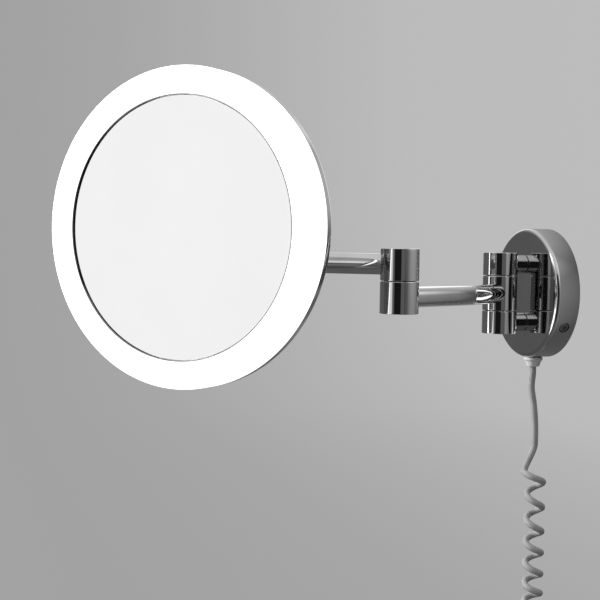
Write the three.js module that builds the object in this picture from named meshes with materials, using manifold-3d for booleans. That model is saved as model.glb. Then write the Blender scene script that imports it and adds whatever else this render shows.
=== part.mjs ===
// Extendable shaving mirror: a round lit mirror on two swinging arms, with a curly cord.
// Millimetres, +Z up. The origin is the centre of the wall plate's back face, the wall is the
// plane Y = 0 and the room is on the -Y side. Both arms are drawn half folded.

import * as THREE from "three";
import { mergeVertices } from "three/addons/utils/BufferGeometryUtils.js";
import Module from "manifold-3d";

const wasm = await Module();
wasm.setup();

// Clearances
const gap = 0.3; // between pieces that are fastened or seated together
const knuckleGap = 0.4; // between two knuckles on one pin

// Wall plate
const plateDiameter = 90;
const plateDepth = 18;
const coverWall = 1.5;
const coverEdgeRadius = 3;
const bracketThickness = 2;
const tabWidth = 12;
const tabThickness = 2;
const tabMargin = 4; // cover's face to the tabs
const wallSlotWidth = 5;
const wallSlotLength = 12;
const wallSlotSpacing = 56;
const coverScrewDrop = 29; // degrees below the horizontal, on both sides
const coverScrewHeadRadius = 3.5;
const coverScrewHeadHeight = 1.7;
const coverScrewShankRadius = 1.9;
const coverScrewLength = 6;
const crossSlotLength = 3.8;
const crossSlotWidth = 0.9;
const crossSlotDepth = 0.6;
const cableHoleRadius = 6;
const cableHoleDrop = 12; // below the plate's centre

// Arms and barrels
const tubeDiameter = 13;
const tubeWall = 1.2;
const leadDiameter = 3;
const barrelDiameter = 24;
const barrelChamfer = 0.5;
const hingeStandoff = 36.5; // wall to hinge axis
const innerArmLength = 125; // hinge axis to elbow axis
const outerArmLength = 125; // elbow axis to swivel axis
const innerBendReach = 46; // hinge axis to the bend, along the arm
const innerBendBow = 11; // how far the bend stands off the straight line
const innerBendLength = 60; // length of tube that is bent
const middleKnuckleMargin = 5.4; // of barrel above and below the tube that enters it
const endKnuckleMargin = 1.4;
const armKnuckleMargin = 3.4;
const socketDepth = 2.5; // how far a tube enters a barrel

// What is inside a barrel
const pinShare = 1 / 3; // pin diameter, as a share of the barrel's
const pinBoreShare = 0.45; // bore of the pin, as a share of the pin
const pinHeadInset = 5; // barrel to pin head and nut
const pinHeadHeight = 2.4;
const nutHeight = 3.5;
const capInset = 3.8; // barrel to cap
const capHeight = 2;
const washerInset = 2.3; // barrel to washer
const washerThickness = 1;

// Wall plate posts
const postStudRadius = 2.5;
const postStudLength = 7;
const postNutRadius = 4.6;
const postNutHeight = 3;

// Head
const headDiameter = 200;
const lightRingWidth = 18.1; // rim of the head to the mirror glass
const diffuserDepth = 11.8;
const diffuserWall = 2;
const diffuserEdgeRadius = 1.2;
const bezelWall = 0.7;
const bezelDepth = 5;
const bezelSetback = 0.4;
const mirrorRecess = 1.9;
const mirrorThickness = 3;
const mirrorCurveRadius = 1000; // hollow face, for magnification
const backingThickness = 2;
const boardInnerMargin = 1.8; // diffuser's inner wall to the LED board
const boardOuterMargin = 1.5; // diffuser's outer wall to the LED board
const carrierMargin = 0.5; // LED board to the carrier's rim
const boardThickness = 1.6;
const ledCount = 24;
const ledLength = 3.5;
const ledWidth = 2.8;
const ledHeight = 1;
const carrierThickness = 1.6;
const carrierHubInner = 11;
const carrierHubOuter = 19;
const rearBandDepth = 6.4;
const rearWall = 1.5;
const rearEdgeRadius = 2;
const rearDomeRise = 2.7;
const rearFlatMargin = 6; // tilt bracket's base to where the dome starts

// Tilt joint
const tiltStandoff = 5.5; // barrel to tilt axis
const eyeRadius = 4.5;
const eyeWidth = 7;
const eyeStemRadius = 3;
const eyeStemDrop = 1.5; // below the eye's centre
const eyeStemDepth = 5; // how far the stem enters the barrel
const tiltPinRadius = 2;
const tiltPinHeadRadius = 3.4;
const tiltPinHeadHeight = 1.8;
const tiltPinOverrun = 3; // past the lug, to hold the nut
const tiltNutHeight = 2.2;
const lugWidth = 3;
const lugGap = 0.4;
const bracketBaseRadius = 18;
const bracketBaseThickness = 2;
const bracketBaseGap = 0.5; // between the eye and the bracket's base
const bracketScrewSpread = 15; // from the head's centre
const bracketScrewRadius = 1.4;
const bracketScrewHeadRadius = 2.6;
const bracketScrewHeadHeight = 1.6;
const bracketScrewLength = 9;
const leadHoleRadius = 3;

// Electrical parts in the wall plate
const driverWidthShare = 7 / 15; // of the plate's radius
const driverHeightShare = 3 / 5;
const driverDepthMargin = 3; // to the wall and to the cover's face
const driverRise = 2; // above the plate's centre
const terminalWidth = 12;
const terminalHeight = 16;
const terminalDepthMargin = 4;
const terminalRise = 4;

// Cord
const cordDiameter = 4.6;
const glandFlangeRadius = 6.6;
const glandFlangeHeight = 2;
const glandBodyRadius = 5.6;
const glandTipRadius = 4.4;
const glandHeight = 6.8; // below the cover
const glandNeckLength = 6;
const glandNutMargin = 0.6; // bracket to gland nut
const glandNutWall = 1.8;
const glandNutHeight = 2.7;
const glandNutStandoff = 1.2; // to the cover's wall
const coilCentre = [6, -8.6];
const coilMeanRadius = 5.4;
const coilDrop = 71.5; // gland to the first turn
const coilLength = 209.4;
const tailLength = 26;
const plugWidth = 35;
const plugThickness = 13.7;
const plugLength = 34;
const plugNeckWidth = 12;
const plugTaper = 0.55; // share of the plug's length that narrows
const plugPinRadius = 2;
const plugPinLength = 19;
const plugPinSpacing = 19;

// Drawn position of the joints, in degrees
const innerArmSwing = 32.8; // from straight out of the wall, towards +X
const outerArmSwing = -73.2; // from in line with the inner arm
const headSwing = 82.6; // from in line with the outer arm

// Facets
const barrelSides = 24;
const tubeSides = 16;
const smallSides = 14;
const headSides = 40;
const plateSides = 32;

// Sizes that follow from those above
const plateRadius = plateDiameter / 2;
const tubeRadius = tubeDiameter / 2;
const barrelRadius = barrelDiameter / 2;
const headRadius = headDiameter / 2;
const mirrorRadius = headRadius - lightRingWidth;
const cordRadius = cordDiameter / 2;
const socketFloor = barrelRadius - socketDepth;
const middleKnuckleHeight = tubeDiameter + 2 * middleKnuckleMargin;
const endKnuckleHeight = tubeDiameter + 2 * endKnuckleMargin;
const armKnuckleHeight = tubeDiameter + 2 * armKnuckleMargin;
const pinRadius = barrelRadius * pinShare;
const pinBoreRadius = pinRadius * pinBoreShare;
const pinHeadRadius = barrelRadius - pinHeadInset;
const nutRadius = pinHeadRadius;
const capRadius = barrelRadius - capInset;
const washerRadius = barrelRadius - washerInset;
const boreRadius = pinRadius + gap;
const capPocketRadius = capRadius + gap;
const washerPocketRadius = washerRadius + gap;
const washerPocketDepth = washerThickness + 2 * gap - knuckleGap;
const headPocketDepth = capHeight + pinHeadHeight + 2 * gap;
const nutPocketDepth = capHeight + nutHeight + 3 * gap;
const endKnuckleCentre = middleKnuckleHeight / 2 + knuckleGap + endKnuckleHeight / 2;
const hingeTop = endKnuckleCentre + endKnuckleHeight / 2;
const storey = armKnuckleHeight + knuckleGap; // height from one arm to the next
const bracketRadius = plateRadius - coverWall - gap;
const cordDepth = plateDepth / 2; // gland and cord, from the wall
const coverScrewDepth = cordDepth - 0.5; // from the wall
const tabHeight = plateDepth - bracketThickness - tabMargin;
const glandNutRadius = cordDepth - bracketThickness - glandNutMargin;
const glandNeckRadius = glandNutRadius - glandNutWall;
const driverSize = [
  plateRadius * driverWidthShare, plateDepth - 2 * driverDepthMargin, plateRadius * driverHeightShare,
];
const driverCentre = [-plateRadius / 2, -plateDepth / 2, driverRise];
const terminalSize = [terminalWidth, plateDepth - 2 * terminalDepthMargin, terminalHeight];
const terminalCentre = [plateRadius * driverWidthShare, -plateDepth / 2, terminalRise];
const tabReach = Math.sqrt(bracketRadius ** 2 - (tabWidth / 2) ** 2);
const bezelInnerRadius = mirrorRadius + gap;
const bezelOuterRadius = bezelInnerRadius + bezelWall;
const diffuserInnerRadius = bezelOuterRadius + gap;
const mirrorSag = mirrorCurveRadius - Math.sqrt(mirrorCurveRadius ** 2 - mirrorRadius ** 2);
const backingFront = mirrorRecess + mirrorSag + mirrorThickness + gap;
const carrierFront = backingFront + backingThickness + gap;
const carrierBack = carrierFront + carrierThickness;
const boardFront = carrierFront - gap - boardThickness;
const boardInnerRadius = diffuserInnerRadius + diffuserWall + boardInnerMargin;
const boardOuterRadius = headRadius - diffuserWall - boardOuterMargin;
const rearFront = diffuserDepth + gap;
const rearBandEnd = rearFront + rearBandDepth;
const rearBack = rearBandEnd + rearDomeRise;
const rearFlatRadius = bracketBaseRadius + rearFlatMargin;
const tiltReach = barrelRadius + tiltStandoff; // swivel axis to tilt axis
const baseFace = eyeRadius + bracketBaseGap; // tilt axis to the bracket's base
const tiltToFront = rearBack + baseFace + bracketBaseThickness + gap; // tilt axis to the front of the head
const stemFloor = barrelRadius - eyeStemDepth;
const lugEnd = eyeWidth / 2 + lugGap + lugWidth;
const glandTop = -(plateRadius + gap);
const glandBottom = -(plateRadius + glandHeight);
const glandNeckTop = glandTop + glandNeckLength;
const glandNutBottom = -(plateRadius - coverWall - glandNutStandoff);
const cordStart = glandBottom - gap;
const coilTop = cordStart - coilDrop;
const coilBottom = coilTop - coilLength;
const tailTop = coilBottom - gap;
const tailBottom = tailTop - tailLength;
const plugTop = tailBottom - gap;
const plugBottom = plugTop - plugLength;

// Finishes
const chrome = { color: 0xc9ccd0, metalness: 1, roughness: 0.08 };
const steel = { color: 0x9a9da1, metalness: 1, roughness: 0.4 };
const blackNylon = { color: 0x1d1d1f, metalness: 0, roughness: 0.6 };
const opal = { color: 0xf6f6f2, metalness: 0, roughness: 0.35, emissive: 0xffffff, emissiveIntensity: 0.9 };
const silver = { color: 0xe9ecee, metalness: 1, roughness: 0.02 };
const whitePlastic = { color: 0xe8e8e4, metalness: 0, roughness: 0.45 };
const boardWhite = { color: 0xdfe4e2, metalness: 0, roughness: 0.55 };
const aluminium = { color: 0xb4b6b8, metalness: 1, roughness: 0.5 };

const radians = THREE.MathUtils.degToRad;

// Merges shared corners, drops empty triangles and turns the faces outwards.
function tidyMesh(geometry) {
  geometry.deleteAttribute("normal");
  geometry.deleteAttribute("uv");
  const merged = mergeVertices(geometry, 1e-4);
  const place = merged.attributes.position.array;
  const source = merged.index.array;
  const kept = [];
  let volume = 0;
  const [a, b, c] = [new THREE.Vector3(), new THREE.Vector3(), new THREE.Vector3()];
  for (let i = 0; i < source.length; i += 3) {
    const [p, q, r] = [source[i], source[i + 1], source[i + 2]];
    if (p === q || q === r || r === p) continue;
    kept.push(p, q, r);
    volume += a.fromArray(place, 3 * p).dot(b.fromArray(place, 3 * q).cross(c.fromArray(place, 3 * r)));
  }
  if (volume < 0) kept.reverse();
  merged.setIndex(kept);
  return merged;
}

function solidFrom(geometry) {
  const mesh = tidyMesh(geometry);
  return new wasm.Manifold(new wasm.Mesh({
    numProp: 3,
    vertProperties: new Float32Array(mesh.attributes.position.array),
    triVerts: new Uint32Array(mesh.index.array),
  }));
}

function geometryFrom(solid) {
  const mesh = solid.getMesh();
  const geometry = new THREE.BufferGeometry();
  geometry.setAttribute("position", new THREE.BufferAttribute(mesh.vertProperties, 3));
  geometry.setIndex(new THREE.BufferAttribute(mesh.triVerts, 1));
  return geometry;
}

function cut(base, ...tools) {
  let solid = solidFrom(base);
  for (const tool of tools) solid = solid.subtract(solidFrom(tool));
  return geometryFrom(solid);
}

function join(base, ...others) {
  let solid = solidFrom(base);
  for (const other of others) solid = solid.add(solidFrom(other));
  return geometryFrom(solid);
}

// A solid of revolution about Z from [radius, height] pairs that close on themselves or the axis.
function revolve(profile, sides) {
  const points = profile.map(([radius, height]) => new THREE.Vector2(radius, height));
  const [first, last] = [points[0], points[points.length - 1]];
  if (first.x > 0 || last.x > 0) points.push(first.clone());
  return new THREE.LatheGeometry(points, sides).rotateX(Math.PI / 2);
}

function arc(centreRadius, centreHeight, radius, from, to, steps) {
  return Array.from({ length: steps + 1 }, (_, i) => {
    const angle = radians(from + ((to - from) * i) / steps);
    return [centreRadius + radius * Math.cos(angle), centreHeight + radius * Math.sin(angle)];
  });
}

function rod(radius, bottom, top, sides) {
  return revolve([[0, bottom], [radius, bottom], [radius, top], [0, top]], sides);
}

function ring(innerRadius, outerRadius, bottom, top, sides) {
  return revolve([[innerRadius, bottom], [outerRadius, bottom], [outerRadius, top], [innerRadius, top]], sides);
}

function block(size, centre) {
  return new THREE.BoxGeometry(...size).translate(...centre);
}

// Turns a piece made about Z so that its top points out of the wall, along -Y.
function outOfWall(geometry) {
  return geometry.rotateX(Math.PI / 2);
}

// A round bar along a curve.
function bar(path, radius, sides, steps) {
  const section = new THREE.Shape();
  section.absarc(0, 0, radius, 0, 2 * Math.PI, false);
  return new THREE.ExtrudeGeometry(section, { extrudePath: path, steps, curveSegments: sides / 2 });
}

function addPiece(group, name, geometry, finish) {
  const mesh = new THREE.Mesh(tidyMesh(geometry), new THREE.MeshStandardMaterial(finish));
  mesh.name = name;
  group.add(mesh);
  return mesh;
}

function groupAt(parent, x, y, z, turn) {
  const group = new THREE.Group();
  group.position.set(x, y, z);
  group.rotation.z = radians(turn);
  parent.add(group);
  return group;
}

// Barrel pieces. Each is drawn about its own pin axis, and z = 0 is the height given by its maker.

// One knuckle with its pin bore. Pockets are { radius, depth } at its lower and upper ends.
function knuckle(bottom, height, lowerPocket, upperPocket, sockets) {
  const top = bottom + height;
  const profile = [
    [boreRadius, bottom + lowerPocket.depth],
    [lowerPocket.radius, bottom + lowerPocket.depth],
    [lowerPocket.radius, bottom],
    [barrelRadius - barrelChamfer, bottom],
    [barrelRadius, bottom + barrelChamfer],
    [barrelRadius, top - barrelChamfer],
    [barrelRadius - barrelChamfer, top],
    [upperPocket.radius, top],
    [upperPocket.radius, top - upperPocket.depth],
    [boreRadius, top - upperPocket.depth],
  ];
  return sockets.length ? cut(revolve(profile, barrelSides), ...sockets) : revolve(profile, barrelSides);
}

// The hole in a barrel that a tube or stem of the given radius enters, at a height and a turn.
function socket(radius, floor, height, turn) {
  return outOfWall(rod(radius + gap, floor, barrelRadius + 1, tubeSides))
    .rotateZ(radians(turn)).translate(0, 0, height);
}

const headPocket = { radius: capPocketRadius, depth: headPocketDepth };
const nutPocket = { radius: capPocketRadius, depth: nutPocketDepth };
const washerPocket = { radius: washerPocketRadius, depth: washerPocketDepth };
const plainBore = { radius: boreRadius + 1, depth: 1 };

// The pin's head sits in the lowest knuckle and its end in the nut of the highest.
function pin(bottom, top) {
  const headBottom = bottom + capHeight + gap;
  const headTop = headBottom + pinHeadHeight;
  return revolve([
    [pinBoreRadius, headBottom],
    [pinHeadRadius, headBottom],
    [pinHeadRadius, headTop],
    [pinRadius, headTop],
    [pinRadius, top - capHeight - gap],
    [pinBoreRadius, top - capHeight - gap],
  ], smallSides);
}

function nut(top) {
  const nutTop = top - capHeight - 2 * gap;
  const hole = rod(boreRadius, nutTop - nutHeight - 1, nutTop + 1, smallSides);
  return cut(rod(nutRadius, nutTop - nutHeight, nutTop, 6), hole);
}

function cap(bottom) {
  return rod(capRadius, bottom, bottom + capHeight, 20);
}

function washer(lowerKnuckleTop) {
  const bottom = lowerKnuckleTop - washerPocketDepth + gap;
  return ring(boreRadius, washerRadius, bottom, bottom + washerThickness, 20);
}

// An arm's tube, from a function that gives its path with some extra length at both ends.
function armTube(pathWith, steps) {
  return cut(
    bar(pathWith(0), tubeRadius, tubeSides, steps),
    bar(pathWith(1), tubeRadius - tubeWall, tubeSides, steps),
  );
}

// Wall plate

function buildCover() {
  const [inner, depth] = [plateRadius - coverWall, plateDepth];
  const edge = arc(plateRadius - coverEdgeRadius, depth - coverEdgeRadius, coverEdgeRadius, 0, 90, 4);
  const innerEdgeRadius = coverEdgeRadius - coverWall;
  const innerEdge = arc(plateRadius - coverEdgeRadius, depth - coverEdgeRadius, innerEdgeRadius, 90, 0, 2);
  const shell = outOfWall(revolve(
    [[inner, gap], [plateRadius, gap], ...edge, [0, depth], [0, depth - coverWall], ...innerEdge],
    plateSides,
  ));
  const holes = [1, -1].map((side) => outOfWall(
    rod(postStudRadius + gap, depth - 2 * coverWall, depth + 1, smallSides),
  ).translate(0, 0, side * endKnuckleCentre));
  const [holeStart, holeEnd] = [inner - 2 * coverWall, plateRadius + 1];
  for (const side of [1, -1]) {
    holes.push(sideways(rod(coverScrewHeadRadius + gap, holeStart, holeEnd, smallSides), side));
  }
  holes.push(rod(glandNeckRadius + gap, -holeEnd, -holeStart, smallSides).translate(0, -cordDepth, 0));
  return cut(shell, ...holes);
}

// Turns a piece made about Z so that it points out through the cover's side, at a cover screw.
function sideways(geometry, side) {
  return geometry.rotateY(side * radians(90 + coverScrewDrop)).translate(0, -coverScrewDepth, 0);
}

function buildBracket() {
  const disc = outOfWall(rod(bracketRadius - 1, 0, bracketThickness, plateSides));
  const tabs = [1, -1].map((side) => {
    const outward = tabReach - tabThickness / 2;
    const tab = block([tabWidth, tabHeight + bracketThickness, tabThickness], [0, 0, outward]);
    tab.translate(0, coverScrewDepth - (tabHeight + bracketThickness) / 2, 0);
    return sideways(tab, side);
  });
  const slots = [1, -1].map((side) => outOfWall(
    block([wallSlotLength, wallSlotWidth, 3 * bracketThickness], [0, side * wallSlotSpacing / 2, 0]),
  ));
  const cableHole = outOfWall(rod(cableHoleRadius, -1, bracketThickness + 1, smallSides));
  cableHole.translate(0, 0, -cableHoleDrop);
  const screwHoles = [1, -1].map((side) => sideways(
    rod(coverScrewShankRadius + gap, tabReach - 3 * tabThickness, tabReach + tabThickness, smallSides), side,
  ));
  return cut(join(disc, ...tabs), ...slots, cableHole, ...screwHoles);
}

function buildCoverScrew(side) {
  const seat = tabReach + gap;
  const screw = join(
    rod(coverScrewHeadRadius, seat, seat + coverScrewHeadHeight, smallSides),
    rod(coverScrewShankRadius, seat - coverScrewLength, seat + 0.5, smallSides),
  );
  const top = seat + coverScrewHeadHeight;
  const slots = [[crossSlotLength, crossSlotWidth], [crossSlotWidth, crossSlotLength]];
  const crossSlots = slots.map(([width, length]) => block([width, length, 2 * crossSlotDepth], [0, 0, top]));
  return sideways(cut(screw, ...crossSlots), side);
}

function buildPost(side) {
  const profile = [
    [0, plateDepth - postStudLength],
    [postStudRadius, plateDepth - postStudLength],
    [postStudRadius, plateDepth + gap],
    [tubeRadius, plateDepth + gap],
    [tubeRadius, hingeStandoff - socketFloor - gap],
    [0, hingeStandoff - socketFloor - gap],
  ];
  return outOfWall(revolve(profile, tubeSides)).translate(0, 0, side * endKnuckleCentre);
}

function buildPostNut(side) {
  const top = plateDepth - coverWall - gap;
  const hexagon = rod(postNutRadius, top - postNutHeight, top, 6);
  const hole = rod(postStudRadius + gap, 0, plateDepth, smallSides);
  return outOfWall(cut(hexagon, hole)).translate(0, 0, side * endKnuckleCentre);
}

function buildGland() {
  return revolve([
    [0, glandNeckTop],
    [glandNeckRadius, glandNeckTop],
    [glandNeckRadius, glandTop],
    [glandFlangeRadius, glandTop],
    [glandFlangeRadius, glandTop - glandFlangeHeight],
    [glandBodyRadius, glandTop - glandFlangeHeight - 0.6],
    [glandTipRadius, glandBottom],
    [0, glandBottom],
  ], 20).translate(0, -cordDepth, 0);
}

function buildGlandNut() {
  const top = glandNutBottom + glandNutHeight;
  return cut(
    rod(glandNutRadius, glandNutBottom, top, 6),
    rod(glandNeckRadius + gap, glandNutBottom - 1, top + 1, smallSides),
  ).translate(0, -cordDepth, 0);
}

const mirror = new THREE.Group();
const wall = groupAt(mirror, 0, 0, 0, 0);

addPiece(wall, "wall_bracket", buildBracket(), steel);
addPiece(wall, "plate_cover", buildCover(), chrome);
for (const [name, side] of [["right", 1], ["left", -1]]) {
  addPiece(wall, `cover_screw_${name}`, buildCoverScrew(side), steel);
}
for (const [name, side] of [["upper", 1], ["lower", -1]]) {
  addPiece(wall, `hinge_post_${name}`, buildPost(side), chrome);
  addPiece(wall, `post_nut_${name}`, buildPostNut(side), steel);
}
addPiece(wall, "led_driver", block(driverSize, driverCentre), whitePlastic);
addPiece(wall, "terminal_block", block(terminalSize, terminalCentre), whitePlastic);
addPiece(wall, "cord_gland", buildGland(), whitePlastic);
addPiece(wall, "gland_nut", buildGlandNut(), whitePlastic);

const supplyStart = glandNeckTop + gap;
const supplyEnd = terminalCentre[2] - terminalSize[2] / 2 - gap;
const supplyRoute = new THREE.CatmullRomCurve3(
  [[0, 0], [0, 0.17], [0.38, 0.55], [1, 0.78], [1, 1]].map(([across, up]) => new THREE.Vector3(
    terminalCentre[0] * across, -cordDepth, supplyStart + (supplyEnd - supplyStart) * up,
  )), false, "centripetal",
);
addPiece(wall, "supply_lead", bar(supplyRoute, leadDiameter / 2, 8, 14), whitePlastic);

// Wall hinge: two knuckles on the posts, the inner arm's knuckle between them

const hinge = groupAt(wall, 0, -hingeStandoff, 0, 0);
const backwards = 180; // the posts enter from the wall side
addPiece(hinge, "hinge_knuckle_top", knuckle(
  hingeTop - endKnuckleHeight, endKnuckleHeight, plainBore, nutPocket,
  [socket(tubeRadius, socketFloor, endKnuckleCentre, backwards)],
), chrome);
addPiece(hinge, "hinge_knuckle_bottom", knuckle(
  -hingeTop, endKnuckleHeight, headPocket, washerPocket,
  [socket(tubeRadius, socketFloor, -endKnuckleCentre, backwards)],
), chrome);
addPiece(hinge, "hinge_pin", pin(-hingeTop, hingeTop), steel);
addPiece(hinge, "hinge_nut", nut(hingeTop), steel);
addPiece(hinge, "hinge_cap_bottom", cap(-hingeTop), chrome);
addPiece(hinge, "hinge_cap_top", cap(hingeTop - capHeight), chrome);
addPiece(hinge, "hinge_washer_lower", washer(-middleKnuckleHeight / 2 - knuckleGap), blackNylon);
addPiece(hinge, "hinge_washer_upper", washer(middleKnuckleHeight / 2), blackNylon);

// Inner arm: from the hinge to the lower half of the elbow

const innerArm = groupAt(hinge, 0, 0, 0, innerArmSwing);
const bendTurnNearHinge = THREE.MathUtils.radToDeg(Math.atan2(innerBendBow, innerBendReach));
const bendTurnNearElbow = -THREE.MathUtils.radToDeg(Math.atan2(innerBendBow, innerArmLength - innerBendReach));

// Two straight runs with a smooth bend between them.
function innerArmPath(extra) {
  const alongHinge = new THREE.Vector3(innerBendBow, -innerBendReach, 0).normalize();
  const bend = new THREE.Vector3(innerBendBow, -innerBendReach, 0);
  const elbow = new THREE.Vector3(0, -innerArmLength, 0);
  const alongElbow = elbow.clone().sub(bend).normalize();
  const start = alongHinge.clone().multiplyScalar(socketFloor + gap - extra);
  const end = elbow.clone().addScaledVector(alongElbow, extra - socketFloor - gap);
  const bendStart = bend.clone().addScaledVector(alongHinge, -innerBendLength / 2);
  const bendEnd = bend.clone().addScaledVector(alongElbow, innerBendLength / 2);
  const path = new THREE.CurvePath();
  path.add(new THREE.LineCurve3(start, bendStart));
  path.add(new THREE.QuadraticBezierCurve3(bendStart, bend, bendEnd));
  path.add(new THREE.LineCurve3(bendEnd, end));
  return path;
}

addPiece(innerArm, "hinge_knuckle_middle", knuckle(
  -middleKnuckleHeight / 2, middleKnuckleHeight, plainBore, washerPocket,
  [socket(tubeRadius, socketFloor, 0, bendTurnNearHinge)],
), chrome);
addPiece(innerArm, "inner_arm_tube", armTube(innerArmPath, 14), chrome);
addPiece(innerArm, "inner_arm_lead", bar(innerArmPath(0), leadDiameter / 2, 6, 10), blackNylon);

const lowerElbow = groupAt(innerArm, 0, -innerArmLength, 0, 0);
const armKnuckleBottom = -armKnuckleHeight / 2;
const elbowTop = armKnuckleHeight / 2 + storey;
addPiece(lowerElbow, "elbow_knuckle_lower", knuckle(
  armKnuckleBottom, armKnuckleHeight, headPocket, washerPocket,
  [socket(tubeRadius, socketFloor, 0, backwards + bendTurnNearElbow)],
), chrome);
addPiece(lowerElbow, "elbow_pin", pin(armKnuckleBottom, elbowTop), steel);
addPiece(lowerElbow, "elbow_cap_bottom", cap(armKnuckleBottom), chrome);
addPiece(lowerElbow, "elbow_washer", washer(armKnuckleHeight / 2), blackNylon);

// Outer arm: from the upper half of the elbow to the lower half of the swivel

const outerArm = groupAt(lowerElbow, 0, 0, storey, outerArmSwing);

function outerArmPath(extra) {
  return new THREE.LineCurve3(
    new THREE.Vector3(0, extra - socketFloor - gap, 0),
    new THREE.Vector3(0, socketFloor + gap - outerArmLength - extra, 0),
  );
}

addPiece(outerArm, "elbow_knuckle_upper", knuckle(
  armKnuckleBottom, armKnuckleHeight, plainBore, nutPocket, [socket(tubeRadius, socketFloor, 0, 0)],
), chrome);
addPiece(outerArm, "elbow_nut", nut(armKnuckleHeight / 2), steel);
addPiece(outerArm, "elbow_cap_top", cap(armKnuckleHeight / 2 - capHeight), chrome);
addPiece(outerArm, "outer_arm_tube", armTube(outerArmPath, 2), chrome);
addPiece(outerArm, "outer_arm_lead", bar(outerArmPath(0), leadDiameter / 2, 6, 2), blackNylon);

const lowerSwivel = groupAt(outerArm, 0, -outerArmLength, 0, 0);
addPiece(lowerSwivel, "swivel_knuckle_lower", knuckle(
  armKnuckleBottom, armKnuckleHeight, headPocket, washerPocket,
  [socket(tubeRadius, socketFloor, 0, backwards)],
), chrome);
addPiece(lowerSwivel, "swivel_pin", pin(armKnuckleBottom, elbowTop), steel);
addPiece(lowerSwivel, "swivel_cap_bottom", cap(armKnuckleBottom), chrome);
addPiece(lowerSwivel, "swivel_washer", washer(armKnuckleHeight / 2), blackNylon);

// Swivel: the upper half of the barrel behind the head, with the eye that the head tilts on

const swivel = groupAt(lowerSwivel, 0, 0, storey, headSwing);
addPiece(swivel, "swivel_knuckle_upper", knuckle(
  armKnuckleBottom, armKnuckleHeight, plainBore, nutPocket,
  [socket(eyeStemRadius, stemFloor, -eyeStemDrop, 0)],
), chrome);
addPiece(swivel, "swivel_nut", nut(armKnuckleHeight / 2), steel);
addPiece(swivel, "swivel_cap_top", cap(armKnuckleHeight / 2 - capHeight), chrome);

function buildTiltEye() {
  const eye = rod(eyeRadius, -eyeWidth / 2, eyeWidth / 2, 20).rotateY(Math.PI / 2).translate(0, -tiltReach, 0);
  const stem = outOfWall(rod(eyeStemRadius, stemFloor + gap, tiltReach, smallSides));
  stem.translate(0, 0, -eyeStemDrop);
  const hole = rod(tiltPinRadius + gap, -eyeWidth, eyeWidth, smallSides).rotateY(Math.PI / 2);
  return cut(join(eye, stem), hole.translate(0, -tiltReach, 0));
}

addPiece(swivel, "tilt_eye", buildTiltEye(), chrome);

// Head: drawn about the tilt axis, with its face towards -Y

const head = groupAt(swivel, 0, -tiltReach, 0, 0);

// Turns a lathed head piece, whose heights are depths behind the front, to its place in the head.
function behindFront(geometry) {
  return geometry.rotateX(-Math.PI / 2).translate(0, -tiltToFront, 0);
}

function buildTiltBracket() {
  const base = outOfWall(rod(bracketBaseRadius, baseFace, baseFace + bracketBaseThickness, 28));
  const lugCentre = eyeWidth / 2 + lugGap + lugWidth / 2;
  const lugs = [1, -1].flatMap((side) => [
    rod(eyeRadius, -lugWidth / 2, lugWidth / 2, 16).rotateY(Math.PI / 2).translate(side * lugCentre, 0, 0),
    block([lugWidth, baseFace + 1, 2 * eyeRadius], [side * lugCentre, -(baseFace + 1) / 2, 0]),
  ]);
  const pinHole = rod(tiltPinRadius + gap, -2 * lugEnd, 2 * lugEnd, smallSides).rotateY(Math.PI / 2);
  const screwHoles = [1, -1].map((side) => outOfWall(
    rod(bracketScrewRadius + gap, 0, 2 * baseFace, 10),
  ).translate(0, 0, side * bracketScrewSpread));
  return cut(join(base, ...lugs), pinHole, ...screwHoles);
}

function buildTiltPin() {
  return revolve([
    [0, -lugEnd - gap - tiltPinHeadHeight],
    [tiltPinHeadRadius, -lugEnd - gap - tiltPinHeadHeight],
    [tiltPinHeadRadius, -lugEnd - gap],
    [tiltPinRadius, -lugEnd - gap],
    [tiltPinRadius, lugEnd + tiltPinOverrun],
    [0, lugEnd + tiltPinOverrun],
  ], smallSides).rotateY(Math.PI / 2);
}

function buildTiltNut() {
  return cut(
    rod(tiltPinHeadRadius, lugEnd + gap, lugEnd + gap + tiltNutHeight, 6),
    rod(tiltPinRadius + gap, 0, 2 * lugEnd, smallSides),
  ).rotateY(Math.PI / 2);
}

function buildBracketScrew(side) {
  const profile = [
    [0, baseFace - gap - bracketScrewHeadHeight],
    [bracketScrewHeadRadius, baseFace - gap - bracketScrewHeadHeight],
    [bracketScrewHeadRadius, baseFace - gap],
    [bracketScrewRadius, baseFace - gap],
    [bracketScrewRadius, baseFace + bracketScrewLength],
    [0, baseFace + bracketScrewLength],
  ];
  return outOfWall(revolve(profile, 12)).translate(0, 0, side * bracketScrewSpread);
}

function buildRearCover() {
  const corner = [headRadius - rearEdgeRadius, rearBandEnd - rearEdgeRadius];
  const innerCornerRadius = rearEdgeRadius - rearWall;
  const screwHoles = [1, -1].map((side) => rod(bracketScrewRadius + gap, 0, 2 * rearBack, 10)
    .translate(side * bracketScrewSpread, 0, 0).rotateZ(Math.PI / 2));
  const leadHole = rod(leadHoleRadius, 0, 2 * rearBack, smallSides);
  const shell = revolve([
    [headRadius - rearWall, rearFront],
    [headRadius, rearFront],
    ...arc(...corner, rearEdgeRadius, 0, 90, 3),
    [rearFlatRadius, rearBack],
    [0, rearBack],
    [0, rearBack - rearWall],
    [rearFlatRadius, rearBack - rearWall],
    ...arc(...corner, innerCornerRadius, 90, 0, 1),
  ], headSides);
  return behindFront(cut(shell, leadHole, ...screwHoles));
}

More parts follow.
